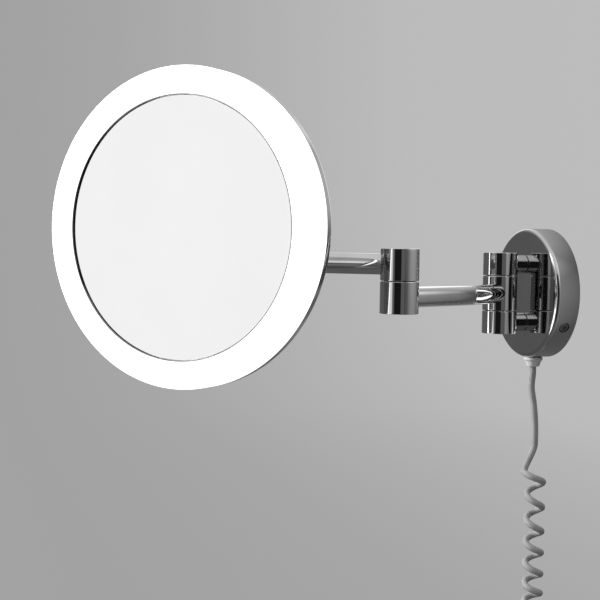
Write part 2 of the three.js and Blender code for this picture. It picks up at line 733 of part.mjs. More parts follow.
function buildDiffuser() {
  const [inner, lip] = [diffuserInnerRadius, bezelDepth];
  return behindFront(revolve([
    [inner, 0],
    ...arc(headRadius - diffuserEdgeRadius, diffuserEdgeRadius, diffuserEdgeRadius, -90, 0, 2),
    [headRadius, diffuserDepth],
    [headRadius - diffuserWall, diffuserDepth],
    [headRadius - diffuserWall, diffuserWall],
    [inner + diffuserWall, diffuserWall],
    [inner + diffuserWall, lip],
    [inner, lip],
  ], headSides));
}

function buildBoard() {
  const board = ring(boardInnerRadius, boardOuterRadius, boardFront, boardFront + boardThickness, headSides);
  const leds = Array.from({ length: ledCount }, (_, i) => block(
    [ledWidth, ledLength, ledHeight + boardThickness / 2],
    [(boardInnerRadius + boardOuterRadius) / 2, 0, boardFront + (boardThickness / 2 - ledHeight) / 2],
  ).rotateZ(((i + 0.5) * 2 * Math.PI) / ledCount));
  return behindFront(join(board, ...leds));
}

function buildCarrier() {
  const hubEnd = rearBack - rearWall - gap;
  const rim = boardOuterRadius + carrierMargin;
  const disc = revolve([
    [carrierHubInner, carrierFront],
    [rim, carrierFront],
    [rim, carrierBack],
    [carrierHubOuter, carrierBack],
    [carrierHubOuter, hubEnd],
    [carrierHubInner, hubEnd],
  ], headSides);
  const screwHoles = [1, -1].map((side) => rod(bracketScrewRadius + gap, 0, 2 * rearBack, 10)
    .translate(side * bracketScrewSpread, 0, 0).rotateZ(Math.PI / 2));
  return behindFront(cut(disc, ...screwHoles));
}

function buildMirrorGlass() {
  const edge = Math.asin(mirrorRadius / mirrorCurveRadius);
  const bowl = (depth, from, to) => Array.from({ length: 4 }, (_, i) => {
    const angle = from + ((to - from) * i) / 3;
    const drop = mirrorCurveRadius * (Math.cos(angle) - Math.cos(edge));
    return [i === 0 && from === 0 || i === 3 && to === 0 ? 0 : mirrorCurveRadius * Math.sin(angle), depth + drop];
  });
  return behindFront(revolve(
    [...bowl(mirrorRecess, 0, edge), ...bowl(mirrorRecess + mirrorThickness, edge, 0)],
    headSides,
  ));
}

addPiece(head, "tilt_bracket", buildTiltBracket(), chrome);
addPiece(head, "tilt_pin", buildTiltPin(), steel);
addPiece(head, "tilt_nut", buildTiltNut(), steel);
for (const [name, side] of [["upper", 1], ["lower", -1]]) {
  addPiece(head, `bracket_screw_${name}`, buildBracketScrew(side), steel);
}
addPiece(head, "rear_cover", buildRearCover(), chrome);
addPiece(head, "mirror_carrier", buildCarrier(), aluminium);
addPiece(head, "led_board", buildBoard(), boardWhite);
addPiece(head, "mirror_backing", behindFront(
  rod(mirrorRadius - gap, backingFront, backingFront + backingThickness, headSides),
), blackNylon);
addPiece(head, "mirror_glass", buildMirrorGlass(), silver);
addPiece(head, "mirror_bezel", behindFront(
  ring(bezelInnerRadius, bezelOuterRadius, bezelSetback, bezelDepth, headSides),
), chrome);
addPiece(head, "light_diffuser", buildDiffuser(), opal);

// Cord: a short free run from the gland, the curly part, a straight tail and the plug

// Places beside the gland's axis, with how far each is below the gland.
const cordRoute = [
  [0, 0, 0],
  [0, 0, 5],
  [-0.2, -0.6, 14.9],
  [0.9, 0.7, 25.9],
  [1.7, 1.6, 37.9],
  [1.9, 1.9, 50.9],
  [1.2, 1.3, 58.9],
  [1.3, -1.4, 64.9],
  [3.6, -5, 69.6],
];
const [coilX, coilY] = coilCentre;
const freeCurve = new THREE.CatmullRomCurve3(
  cordRoute.map(([x, y, drop]) => new THREE.Vector3(x, y - cordDepth, cordStart - drop)),
  false, "centripetal",
);
const tailCurve = new THREE.LineCurve3(
  new THREE.Vector3(coilX, coilY, tailTop), new THREE.Vector3(coilX, coilY, tailBottom),
);
addPiece(wall, "cord_upper", bar(freeCurve, cordRadius, 8, 28), whitePlastic);
addPiece(wall, "cord_coil", rod(coilMeanRadius + cordRadius, coilBottom, coilTop, 16)
  .translate(coilX, coilY, 0), whitePlastic);
addPiece(wall, "cord_tail", bar(tailCurve, cordRadius, 8, 6), whitePlastic);

function buildPlugBody() {
  const half = plugWidth / 2;
  const outline = new THREE.Shape();
  outline.moveTo(-plugNeckWidth / 2, 0);
  outline.lineTo(plugNeckWidth / 2, 0);
  outline.lineTo(half, -plugLength * plugTaper);
  outline.lineTo(half, -plugLength);
  outline.lineTo(-half, -plugLength);
  outline.lineTo(-half, -plugLength * plugTaper);
  return new THREE.ExtrudeGeometry(outline, { depth: plugThickness, bevelEnabled: false })
    .rotateX(Math.PI / 2).translate(coilX, coilY + plugThickness / 2, plugTop);
}

addPiece(wall, "plug_body", buildPlugBody(), whitePlastic);
for (const [name, side] of [["right", 1], ["left", -1]]) {
  addPiece(wall, `plug_pin_${name}`, rod(plugPinRadius, plugBottom - gap - plugPinLength, plugBottom - gap, 12)
    .translate(coilX + (side * plugPinSpacing) / 2, coilY, 0), steel);
}

export default mirror;
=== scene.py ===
from math import asin, cos, hypot, pi, radians, sin, tan

import bmesh
import bpy
from mathutils import Matrix, Vector


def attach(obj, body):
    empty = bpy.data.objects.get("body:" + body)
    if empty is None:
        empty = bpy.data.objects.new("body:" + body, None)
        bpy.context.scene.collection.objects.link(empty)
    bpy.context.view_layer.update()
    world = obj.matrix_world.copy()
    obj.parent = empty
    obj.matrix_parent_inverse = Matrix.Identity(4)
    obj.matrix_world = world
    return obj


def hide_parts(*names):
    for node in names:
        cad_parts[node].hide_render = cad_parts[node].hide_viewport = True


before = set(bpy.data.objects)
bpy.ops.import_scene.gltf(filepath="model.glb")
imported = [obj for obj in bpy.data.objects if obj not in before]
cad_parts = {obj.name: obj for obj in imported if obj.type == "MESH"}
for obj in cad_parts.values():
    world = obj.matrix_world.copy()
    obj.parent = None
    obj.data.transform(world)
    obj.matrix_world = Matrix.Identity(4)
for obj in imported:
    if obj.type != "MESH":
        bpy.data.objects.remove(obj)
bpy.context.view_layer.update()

print("frame loaded")

# Camera: looks at the mirror from the right, almost along the wall
cameraSetup = {
    "place": (0.7210, -0.4226, 0.0317), "turn": 71.63, "down": 2.76, "roll": 0.886,
    "lens": 69.42, "sensor": 36, "nearest": 0.02,
}


def addCamera(setup):
    turn, down, roll = (radians(setup[key]) for key in ("turn", "down", "roll"))
    ahead = Vector((-sin(turn) * cos(down), cos(turn) * cos(down), -sin(down)))
    level = Vector((cos(turn), sin(turn), 0))
    upright = level.cross(ahead)
    right = cos(roll) * level + sin(roll) * upright
    top = cos(roll) * upright - sin(roll) * level
    data = bpy.data.cameras.new("camera")
    data.lens = setup["lens"]
    data.sensor_width = setup["sensor"]
    data.clip_start = setup["nearest"]
    camera = bpy.data.objects.new("camera", data)
    bpy.context.scene.collection.objects.link(camera)
    facing = Matrix((right, top, -ahead)).transposed().to_4x4()
    camera.matrix_world = Matrix.Translation(setup["place"]) @ facing
    bpy.context.scene.camera = camera


addCamera(cameraSetup)
bpy.context.scene.view_settings.view_transform = "Standard"
print("camera placed")

# Seats: where each part of the mirror is drawn, in millimetres
arms = {
    "hingeStandoff": 36.5, "length": 125, "storey": 20.2,
    "innerSwing": 32.8, "outerSwing": -73.2, "headSwing": 82.6,
    "tiltReach": 17.5, "tiltToFront": 28.5,
}


def shift(x, y, z):
    return Matrix.Translation((x, y, z))


def turnZ(angle):
    return Matrix.Rotation(radians(angle), 4, "Z")


def turnX(angle):
    return Matrix.Rotation(radians(angle), 4, "X")


def turnY(angle):
    return Matrix.Rotation(radians(angle), 4, "Y")


outOfWall = turnX(90)  # a piece made about Z then points into the room
wallSeat = Matrix.Identity(4)
hingeSeat = shift(0, -arms["hingeStandoff"], 0)
innerSeat = hingeSeat @ turnZ(arms["innerSwing"])
elbowSeat = innerSeat @ shift(0, -arms["length"], 0)
outerSeat = elbowSeat @ shift(0, 0, arms["storey"]) @ turnZ(arms["outerSwing"])
lowerSwivelSeat = outerSeat @ shift(0, -arms["length"], 0)
swivelSeat = lowerSwivelSeat @ shift(0, 0, arms["storey"]) @ turnZ(arms["headSwing"])
headSeat = swivelSeat @ shift(0, -arms["tiltReach"], 0)
# about this seat a height is a depth behind the front of the head
frontSeat = headSeat @ shift(0, -arms["tiltToFront"], 0) @ turnX(-90)


# Materials
def setInput(shader, **values):
    for name, value in values.items():
        shader.inputs[name.replace("_", " ")].default_value = value


def startMaterial(name):
    material = bpy.data.materials.new(name)
    material.use_nodes = True
    nodes, links = material.node_tree.nodes, material.node_tree.links
    shader = nodes["Principled BSDF"]
    coordinates = nodes.new("ShaderNodeTexCoord")
    return material, nodes, links, shader, coordinates.outputs["Object"]


def addNoise(nodes, links, place, scale, detail=3.0, roughness=0.55, stretch=None):
    if stretch:
        mapping = nodes.new("ShaderNodeMapping")
        mapping.inputs["Scale"].default_value = stretch
        links.new(place, mapping.inputs["Vector"])
        place = mapping.outputs["Vector"]
    noise = nodes.new("ShaderNodeTexNoise")
    noise.inputs["Scale"].default_value = scale
    noise.inputs["Detail"].default_value = detail
    noise.inputs["Roughness"].default_value = roughness
    links.new(place, noise.inputs["Vector"])
    return noise.outputs["Fac"]


def rampBetween(nodes, links, factor, low, high, start=0.35, end=0.65):
    ramp = nodes.new("ShaderNodeValToRGB")
    ramp.color_ramp.elements[0].position = start
    ramp.color_ramp.elements[1].position = end
    ramp.color_ramp.elements[0].color = (*low, 1)
    ramp.color_ramp.elements[1].color = (*high, 1)
    links.new(factor, ramp.inputs["Fac"])
    return ramp.outputs["Color"]


def rangeOf(nodes, links, factor, low, high):
    spread = nodes.new("ShaderNodeMapRange")
    spread.inputs["From Min"].default_value = 0.3
    spread.inputs["From Max"].default_value = 0.7
    spread.inputs["To Min"].default_value = low
    spread.inputs["To Max"].default_value = high
    links.new(factor, spread.inputs["Value"])
    return spread.outputs["Result"]


def addBump(nodes, links, shader, height, strength, distance):
    bump = nodes.new("ShaderNodeBump")
    bump.inputs["Strength"].default_value = strength
    bump.inputs["Distance"].default_value = distance
    links.new(height, bump.inputs["Height"])
    links.new(bump.outputs["Normal"], shader.inputs["Normal"])


def metal(name, low, high, shine, grain, bump, stretch=None):
    material, nodes, links, shader, place = startMaterial(name)
    setInput(shader, Metallic=1.0)
    cloud = addNoise(nodes, links, place, grain["cloud"], 4.0, 0.6)
    fine = addNoise(nodes, links, place, grain["fine"], 2.0, 0.5, stretch)
    links.new(rampBetween(nodes, links, cloud, low, high), shader.inputs["Base Color"])
    links.new(rangeOf(nodes, links, fine, *shine), shader.inputs["Roughness"])
    addBump(nodes, links, shader, fine, bump["strength"], bump["distance"])
    return material


def plastic(name, low, high, shine, grain, bump, **constants):
    material, nodes, links, shader, place = startMaterial(name)
    setInput(shader, **constants)
    cloud = addNoise(nodes, links, place, grain["cloud"], 3.0, 0.55)
    fine = addNoise(nodes, links, place, grain["fine"], 2.0, 0.6)
    links.new(rampBetween(nodes, links, cloud, low, high), shader.inputs["Base Color"])
    links.new(rangeOf(nodes, links, cloud, *shine), shader.inputs["Roughness"])
    addBump(nodes, links, shader, fine, bump["strength"], bump["distance"])
    return material


def grey(value):
    return (value, value, value)


finishes = {
    "chrome": metal("polished_chrome", grey(0.60), grey(0.66), (0.025, 0.055),
                    {"cloud": 45, "fine": 260}, {"strength": 0.006, "distance": 0.0002}),
    "plateChrome": metal("plate_chrome", grey(0.56), grey(0.62), (0.03, 0.06),
                         {"cloud": 30, "fine": 180}, {"strength": 0.005, "distance": 0.0002}),
    "headChrome": metal("head_chrome", grey(0.60), grey(0.66), (0.06, 0.10),
                        {"cloud": 18, "fine": 120}, {"strength": 0.006, "distance": 0.0002}),
    # the bezel's chrome is set much darker than the rest: painted shade for the thin dark gap round the
    # mirror glass
    "shadedBezelChrome": metal("bezel_chrome_painted_shade", grey(0.30), grey(0.36), (0.08, 0.14),
                         {"cloud": 60, "fine": 400}, {"strength": 0.02, "distance": 0.0002}),
    "screwChrome": metal("screw_chrome", grey(0.26), grey(0.34), (0.14, 0.22),
                         {"cloud": 160, "fine": 900}, {"strength": 0.04, "distance": 0.0002}),
    "steel": metal("plain_steel", grey(0.36), grey(0.46), (0.3, 0.42),
                   {"cloud": 120, "fine": 1500}, {"strength": 0.08, "distance": 0.0002}),
    "aluminium": metal("spun_aluminium", grey(0.5), grey(0.6), (0.34, 0.46),
                       {"cloud": 60, "fine": 700}, {"strength": 0.08, "distance": 0.0002}, (1, 1, 12)),
    "brass": metal("plated_brass", (0.62, 0.60, 0.55), (0.70, 0.68, 0.62), (0.14, 0.24),
                   {"cloud": 150, "fine": 1200}, {"strength": 0.05, "distance": 0.0002}),
    "silver": metal("mirror_silver", grey(0.93), grey(0.95), (0.004, 0.012),
                    {"cloud": 14, "fine": 60}, {"strength": 0.0, "distance": 0.0001}),
    "nylon": plastic("black_nylon", grey(0.012), grey(0.02), (0.42, 0.55),
                     {"cloud": 160, "fine": 2400}, {"strength": 0.15, "distance": 0.0002}),
    "leadSkin": plastic("lead_skin", grey(0.018), grey(0.03), (0.4, 0.5),
                        {"cloud": 200, "fine": 1800}, {"strength": 0.1, "distance": 0.0002}),
    "whitePlastic": plastic("white_plastic", grey(0.66), grey(0.72), (0.38, 0.5),
                            {"cloud": 70, "fine": 1600}, {"strength": 0.08, "distance": 0.0002}),
    "glandPlastic": plastic("gland_plastic", grey(0.86), grey(0.9), (0.28, 0.4),
                            {"cloud": 90, "fine": 1400}, {"strength": 0.06, "distance": 0.0002}),
    # the cord's grey is darker than its own pale plastic: part of this colour is painted shade, for the cord
    # hanging in shadow
    "cordSkinAndShade": plastic("cord_skin_and_shade", grey(0.42), grey(0.47), (0.36, 0.46),
                        {"cloud": 110, "fine": 1900}, {"strength": 0.1, "distance": 0.0002}),
    "plugBody": plastic("plug_plastic", grey(0.52), grey(0.58), (0.4, 0.52),
                        {"cloud": 90, "fine": 2100}, {"strength": 0.16, "distance": 0.0002}),
    "board": plastic("circuit_board", (0.60, 0.63, 0.61), (0.68, 0.70, 0.68), (0.4, 0.5),
                     {"cloud": 220, "fine": 1200}, {"strength": 0.08, "distance": 0.0002}),
    "backing": plastic("backing_felt", grey(0.02), grey(0.032), (0.75, 0.85),
                       {"cloud": 200, "fine": 2600}, {"strength": 0.3, "distance": 0.0003}),
}


def opalGlow(name, strength):
    material, nodes, links, shader, place = startMaterial(name)
    setInput(shader, Roughness=0.3, Emission_Strength=strength)
    frost = addNoise(nodes, links, place, 1800, 2.0, 0.5)
    cloud = addNoise(nodes, links, place, 25, 2.0, 0.5)
    links.new(rampBetween(nodes, links, cloud, grey(0.86), grey(0.9)), shader.inputs["Base Color"])
    glow = rampBetween(nodes, links, cloud, (0.97, 0.98, 1.0), (1.0, 1.0, 1.0))
    links.new(glow, shader.inputs["Emission Color"])
    addBump(nodes, links, shader, frost, 0.05, 0.0002)
    return material


finishes["opal"] = opalGlow("opal_diffuser", 1.6)
print("finishes made")


# Shape helpers
def spinProfile(profile, steps=96):
    bm = bmesh.new()
    verts = [bm.verts.new((radius, 0, height)) for radius, height in profile]
    edges = [bm.edges.new(pair) for pair in zip(verts, verts[1:])]
    if profile[0][0] > 0 or profile[-1][0] > 0:
        edges.append(bm.edges.new((verts[-1], verts[0])))
    bmesh.ops.spin(bm, geom=verts + edges, cent=(0, 0, 0), axis=(0, 0, 1), angle=2 * pi,
                   steps=steps, use_merge=True)
    bmesh.ops.remove_doubles(bm, verts=bm.verts, dist=1e-4)
    bmesh.ops.recalc_face_normals(bm, faces=bm.faces)
    return bm


def softenEdges(bm, width, segments, chosen=lambda edge: True, angle=30):
    edges = [edge for edge in bm.edges
             if edge.calc_face_angle(0) > radians(angle) and chosen(edge)]
    bmesh.ops.bevel(bm, geom=edges, offset=width, offset_type="OFFSET", segments=segments, profile=0.5,
                    affect="EDGES", material=-1, clamp_overlap=True)
    return bm


def ringAt(radius, height, slack=0.05):
    def chosen(edge):
        middle = (edge.verts[0].co + edge.verts[1].co) / 2
        reach = max(hypot(*vert.co.xy) for vert in edge.verts)
        return abs(middle.z - height) < slack and abs(reach - radius) < slack
    return chosen


def place(bm, seat):
    bmesh.ops.transform(bm, matrix=Matrix.Scale(0.001, 4) @ seat, verts=bm.verts)
    return bm


def combine(bm, others, operation="DIFFERENCE"):
    objects = []
    for shape in (bm, *others):
        mesh = bpy.data.meshes.new("working")
        shape.to_mesh(mesh)
        shape.free()
        objects.append(bpy.data.objects.new("working", mesh))
        bpy.context.scene.collection.objects.link(objects[-1])
    for other in objects[1:]:
        modifier = objects[0].modifiers.new("combine", "BOOLEAN")
        modifier.object = other
        modifier.operation = operation
        modifier.solver = "EXACT"
    seen = objects[0].evaluated_get(bpy.context.evaluated_depsgraph_get())
    result = bmesh.new()
    result.from_mesh(seen.to_mesh())
    seen.to_mesh_clear()
    bmesh.ops.dissolve_degenerate(result, dist=1e-4, edges=result.edges)
    for item in objects:
        mesh = item.data
        bpy.data.objects.remove(item)
        bpy.data.meshes.remove(mesh)
    return result


def addPiece(name, bm, body, finish, stands=()):
    mesh = bpy.data.meshes.new(name)
    bm.to_mesh(mesh)
    bm.free()
    mesh.materials.append(finishes[finish])
    mesh.shade_smooth()
    mesh.set_sharp_from_angle(angle=radians(38))
    piece = bpy.data.objects.new(name, mesh)
    bpy.context.scene.collection.objects.link(piece)
    weighted = piece.modifiers.new("even_shading", "WEIGHTED_NORMAL")
    weighted.keep_sharp = True
    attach(piece, body)
    if stands:
        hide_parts(*stands)
    return piece


# Cord: a free run from the gland, the curly part, a straight tail and the plug
cord = {
    "diameter": 4.6, "length": 0.87, "centre": (6, -8.6), "meanRadius": 5.4,
    "route": [(0, -9, -51.2), (0, -9, -57.1), (-0.2, -9.6, -67), (0.9, -8.3, -78), (1.7, -7.4, -90),
              (1.9, -7.1, -103), (1.2, -7.7, -111)],
    "firstTurn": -108.4,  # where the coil starts, in degrees
    "coilTop": -125.9, "coilBottom": -330.7, "tailTop": -333.3, "tailBottom": -360.3,
    # heights of the right side of each open turn, then the drop of each closer one
    "rights": [-133.5, -151.4, -168.7, -183.8, -199.0, -212.7],
    "pitches": [12.8, 11.9, 11.0, 10.0, 9.0, 8.0, 7.2, 6.4, 5.8, 5.4], "closedPitch": 5.0,
    "pointsPerTurn": 16, "leadSteps": 5, "turnBlend": 0.2,
    "openingTurns": 0.5, "openingSpread": 2.4,  # the first half turn opens wider
    "closingTurns": 0.6, "closingRadius": 0.2, "closingDrop": 2,  # the last turn winds in to the tail
    "tailStart": 1, "tailStep": 3.2, "tailPoints": 11,
}


def catmull(points, steps):
    ends = [2 * points[0] - points[1], *points, 2 * points[-1] - points[-2]]
    smooth = []
    for before, start, end, after in zip(ends, ends[1:], ends[2:], ends[3:]):
        for step in range(steps):
            t = step / steps
            smooth.append(0.5 * (2 * start + (end - before) * t
                                 + (2 * before - 5 * start + 4 * end - after) * t * t
                                 + (3 * start - before - 3 * end + after) * t ** 3))
    return [*smooth, points[-1]]


def coilHeights(setup):
    turns, heights = [0.0, 0.5], [setup["coilTop"], setup["rights"][0]]
    for height in setup["rights"][1:]:
        turns.append(turns[-1] + 1)
        heights.append(height)
    for pitch in setup["pitches"]:
        turns.append(turns[-1] + 1)
        heights.append(heights[-1] - pitch)
    closedTurns = (heights[-1] - setup["coilBottom"]) / setup["closedPitch"]
    turns.append(turns[-1] + closedTurns)
    heights.append(setup["coilBottom"])
    return turns, heights


def heightAt(turns, heights, turn):
    for (t0, h0), (t1, h1) in zip(zip(turns, heights), zip(turns[1:], heights[1:])):
        if turn <= t1 + 1e-9:
            return h0 + (h1 - h0) * (turn - t0) / (t1 - t0)
    return heights[-1]


def cordLine(setup):
    turns, heights = coilHeights(setup)
    centreX, centreY = setup["centre"]
    blend = setup["turnBlend"]
    closingFrom = turns[-1] - setup["closingTurns"]
    steps = int(turns[-1] * setup["pointsPerTurn"])
    coil = []
    for step in range(steps + 1):
        turn = step * turns[-1] / steps
        angle = radians(setup["firstTurn"] + 360 * turn)
        opening = max(0.0, 1 - turn / setup["openingTurns"])
        closing = max(0.0, (turn - closingFrom) / setup["closingTurns"])
        radius = setup["meanRadius"] + setup["openingSpread"] * opening
        radius -= (setup["meanRadius"] - setup["closingRadius"]) * closing ** 2
        height = sum(heightAt(turns, heights, turn + by) for by in (-blend, 0, blend)) / 3
        if turn < blend:
            height = heightAt(turns, heights, turn)
        height -= setup["closingDrop"] * closing ** 2
        coil.append(Vector((centreX + radius * cos(angle), centreY + radius * sin(angle), height)))
    lead = [Vector(point) for point in setup["route"]]
    steps = setup["leadSteps"]
    upper = catmull([*lead, coil[0], coil[3]], steps)[:-steps]
    tailHeights = [setup["tailTop"] - setup["tailStart"] - setup["tailStep"] * step
                   for step in range(setup["tailPoints"])]
    tail = [Vector((centreX, centreY, height)) for height in tailHeights]
    tail[-1].z = setup["tailBottom"]
    return [*upper[:-1], *coil, *tail]


def addCord(setup):
    line = cordLine(setup)
    length = sum((b - a).length for a, b in zip(line, line[1:])) / 1000
    print(f"cord length {length:.3f} m, {len(line)} points")
    data = bpy.data.curves.new("curly_cord", "CURVE")
    data.dimensions = "3D"
    data.bevel_depth = setup["diameter"] / 2000  # half of it, in metres
    data.bevel_resolution = 5
    data.use_fill_caps = True
    spline = data.splines.new("POLY")
    spline.points.add(len(line) - 1)
    for point, at in zip(spline.points, line):
        point.co = (*(at / 1000), 1)
    spline.use_smooth = True
    data.materials.append(finishes["cordSkinAndShade"])
    piece = bpy.data.objects.new("curly_cord", data)
    bpy.context.scene.collection.objects.link(piece)
    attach(piece, "wall_plate")
    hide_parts("cord_upper", "cord_coil", "cord_tail")
    return piece


curlyCord = addCord(cord)

plug = {
    "top": -359.6, "bottom": -393.6, "width": 35, "thickness": 13.7,
    "pinRadius": 2, "pinSpacing": 19, "pinLength": 19, "fit": 0.3,
    "blockHeight": 14, "upright": 4.2, "edge": 1.0, "pinTip": 0.9,
    # share of the climb above the block, then the scale of its width and its thickness
    "shoulders": ((0.45, 0.86, 0.97), (0.35, 0.62, 0.92), (0.2, 0.8, 0.85)),
}


def buildPlug(setup):
    bm = bmesh.new()
    block = setup["blockHeight"]
    bmesh.ops.create_cube(bm, size=1)
    bmesh.ops.scale(bm, vec=(setup["width"], setup["thickness"], block), verts=bm.verts)
    bmesh.ops.translate(bm, vec=(0, 0, block / 2), verts=bm.verts)
    climb = setup["top"] - setup["bottom"] - block
    for share, wide, deep in setup["shoulders"]:
        top = max(bm.faces, key=lambda face: face.calc_center_median().z)
        grown = bmesh.ops.extrude_face_region(bm, geom=[top])["geom"]
        verts = [item for item in grown if isinstance(item, bmesh.types.BMVert)]
        bmesh.ops.delete(bm, geom=[top], context="FACES_ONLY")
        bmesh.ops.translate(bm, vec=(0, 0, climb * share), verts=verts)
        bmesh.ops.scale(bm, vec=(wide, deep, 1), verts=verts)
    bmesh.ops.recalc_face_normals(bm, faces=bm.faces)
    upright = [edge for edge in bm.edges if abs(edge.verts[0].co.z - edge.verts[1].co.z) > 1]
    bmesh.ops.bevel(bm, geom=upright, offset=setup["upright"], offset_type="OFFSET", segments=6,
                    profile=0.5, affect="EDGES", material=-1, clamp_overlap=True)
    softenEdges(bm, setup["edge"], 3, angle=50)
    return place(bm, shift(*cord["centre"], setup["bottom"]))


def buildPlugPin(setup, side):
    top = setup["bottom"] - setup["fit"]
    tip = top - setup["pinLength"]
    x = cord["centre"][0] + side * setup["pinSpacing"] / 2
    bm = spinProfile([(0, tip), (setup["pinRadius"], tip), (setup["pinRadius"], top), (0, top)], 32)
    softenEdges(bm, setup["pinTip"], 4, ringAt(setup["pinRadius"], tip))
    return place(bm, shift(x, cord["centre"][1], 0))


rightAndLeft = (("right", 1), ("left", -1))
upperAndLower = (("upper", 1), ("lower", -1))
plugBody = addPiece("plug_shell", buildPlug(plug), "wall_plate", "plugBody", ["plug_body"])
plugPins = [addPiece(f"plug_contact_{word}", buildPlugPin(plug, side), "wall_plate", "brass",
                     [f"plug_pin_{word}"]) for word, side in rightAndLeft]
print("cord and plug made")

# Wall plate: cover, screws, posts and gland
plate = {
    "radius": 45, "depth": 18, "wall": 1.5, "edge": 3, "foot": 0.3,
    "postRadius": 6.5, "studRadius": 2.5, "studStart": 11, "postEnd": 26.7, "postHeight": 20.2,
    "screwTurn": 119, "screwDepth": 8.5, "screwSeat": 43.08, "screwRadius": 3.5, "screwHead": 1.7,
    "shankRadius": 1.9, "shankLength": 6, "crossLength": 3.8, "crossWidth": 0.9, "crossDepth": 0.7,
    "glandDepth": 9, "neckRadius": 4.6, "fit": 0.3,
    "cutPast": 1, "footEdge": 0.25, "screwEdge": 0.8, "postEdge": 0.3,
}
gland = {
    "neckTop": -39.3, "flangeTop": -45.3, "flangeRadius": 6.6, "flangeHeight": 2, "shoulder": 0.6,
    "bodyRadius": 5.6, "tipRadius": 4.4, "bottom": -51.8, "edge": 0.45,
}


def rod(radius, bottom, top, steps=64):
    return spinProfile([(0, bottom), (radius, bottom), (radius, top), (0, top)], steps)


def moved(bm, seat):
    bmesh.ops.transform(bm, matrix=seat, verts=bm.verts)
    return bm


def sidewaysSeat(side):
    return shift(0, -plate["screwDepth"], 0) @ turnY(side * plate["screwTurn"])


def buildCover(setup):
    radius, depth, wall = setup["radius"], setup["depth"], setup["wall"]
    bm = spinProfile([(0, depth - wall), (radius - wall, depth - wall), (radius - wall, setup["foot"]),
                      (radius, setup["foot"]), (radius, depth), (0, depth)], 144)
    softenEdges(bm, setup["edge"], 10, ringAt(radius, depth))
    softenEdges(bm, setup["footEdge"], 2, ringAt(radius, setup["foot"]))
    moved(bm, outOfWall)
    past, fit = setup["cutPast"], setup["fit"]
    cutters = []
    for side in (1, -1):
        screwHole = rod(setup["screwRadius"] + fit, radius - 5, radius + past, 40)
        cutters.append(moved(screwHole, sidewaysSeat(side)))
    for side in (1, -1):
        studHole = rod(setup["studRadius"] + fit, depth - 4, depth + past, 32)
        cutters.append(moved(studHole, shift(0, 0, side * setup["postHeight"]) @ outOfWall))
    glandHole = rod(setup["neckRadius"] + fit, -radius - past, -radius + 5, 40)
    cutters.append(moved(glandHole, shift(0, -setup["glandDepth"], 0)))
    return place(combine(bm, cutters), wallSeat)


def crossCutters(setup, top):
    cutters = []
    for size in ((setup["crossLength"], setup["crossWidth"]), (setup["crossWidth"], setup["crossLength"])):
        bm = bmesh.new()
        bmesh.ops.create_cube(bm, size=1)
        bmesh.ops.scale(bm, vec=(*size, 2 * setup["crossDepth"]), verts=bm.verts)
        cutters.append(moved(bm, shift(0, 0, top)))
    return cutters


def buildCoverScrew(setup, side):
    seat, radius, top = setup["screwSeat"], setup["screwRadius"], setup["screwSeat"] + setup["screwHead"]
    bm = spinProfile([(0, seat - setup["shankLength"]), (setup["shankRadius"], seat - setup["shankLength"]),
                      (setup["shankRadius"], seat), (radius, seat), (radius, top), (0, top)], 48)
    softenEdges(bm, setup["screwEdge"], 5, ringAt(radius, top))
    return place(combine(bm, crossCutters(setup, top)), sidewaysSeat(side))


def buildPost(setup, side):
    shoulder = setup["depth"] + setup["fit"]
    bm = spinProfile([(0, setup["studStart"]), (setup["studRadius"], setup["studStart"]),
                      (setup["studRadius"], shoulder), (setup["postRadius"], shoulder),
                      (setup["postRadius"], setup["postEnd"]), (0, setup["postEnd"])], 72)
    softenEdges(bm, setup["postEdge"], 3, ringAt(setup["postRadius"], shoulder))
    return place(bm, shift(0, 0, side * setup["postHeight"]) @ outOfWall)


def buildGland(setup):
    flangeBottom = setup["flangeTop"] - setup["flangeHeight"]
    bm = spinProfile([(0, setup["neckTop"]), (plate["neckRadius"], setup["neckTop"]),
                      (plate["neckRadius"], setup["flangeTop"]), (setup["flangeRadius"], setup["flangeTop"]),
                      (setup["flangeRadius"], flangeBottom),
                      (setup["bodyRadius"], flangeBottom - setup["shoulder"]),
                      (setup["tipRadius"], setup["bottom"]), (0, setup["bottom"])], 64)
    softenEdges(bm, setup["edge"], 4,
                lambda edge: max(vert.co.z for vert in edge.verts) < setup["flangeTop"] + 0.1)
    return place(bm, shift(0, -plate["glandDepth"], 0))


addPiece("cover_shell", buildCover(plate), "wall_plate", "plateChrome", ["plate_cover"])
for word, side in rightAndLeft:
    addPiece(f"side_screw_{word}", buildCoverScrew(plate, side), "wall_plate", "screwChrome",
             [f"cover_screw_{word}"])
for word, side in upperAndLower:
    addPiece(f"post_{word}", buildPost(plate, side), "wall_plate", "chrome", [f"hinge_post_{word}"])
addPiece("cord_outlet", buildGland(gland), "wall_plate", "glandPlastic", ["cord_gland"])
print("wall plate made")

# Barrels: hinge, elbow and swivel
barrel = {
    "radius": 12, "edge": 0.45, "lip": 0.2, "bore": 4.3, "capRadius": 8.2, "capHeight": 2,
    "armBottom": -9.9, "armHeight": 19.8, "middleBottom": -11.9, "middleHeight": 23.8,
    "hingeEnd": 28.1, "endHeight": 15.8, "capEdge": 0.3,
}
# radius and depth of what is let into the end of a barrel
pockets = {"head": (8.5, 5.0), "nut": (8.5, 6.4), "washer": (10.0, 1.2), "plain": (5.3, 1.0)}


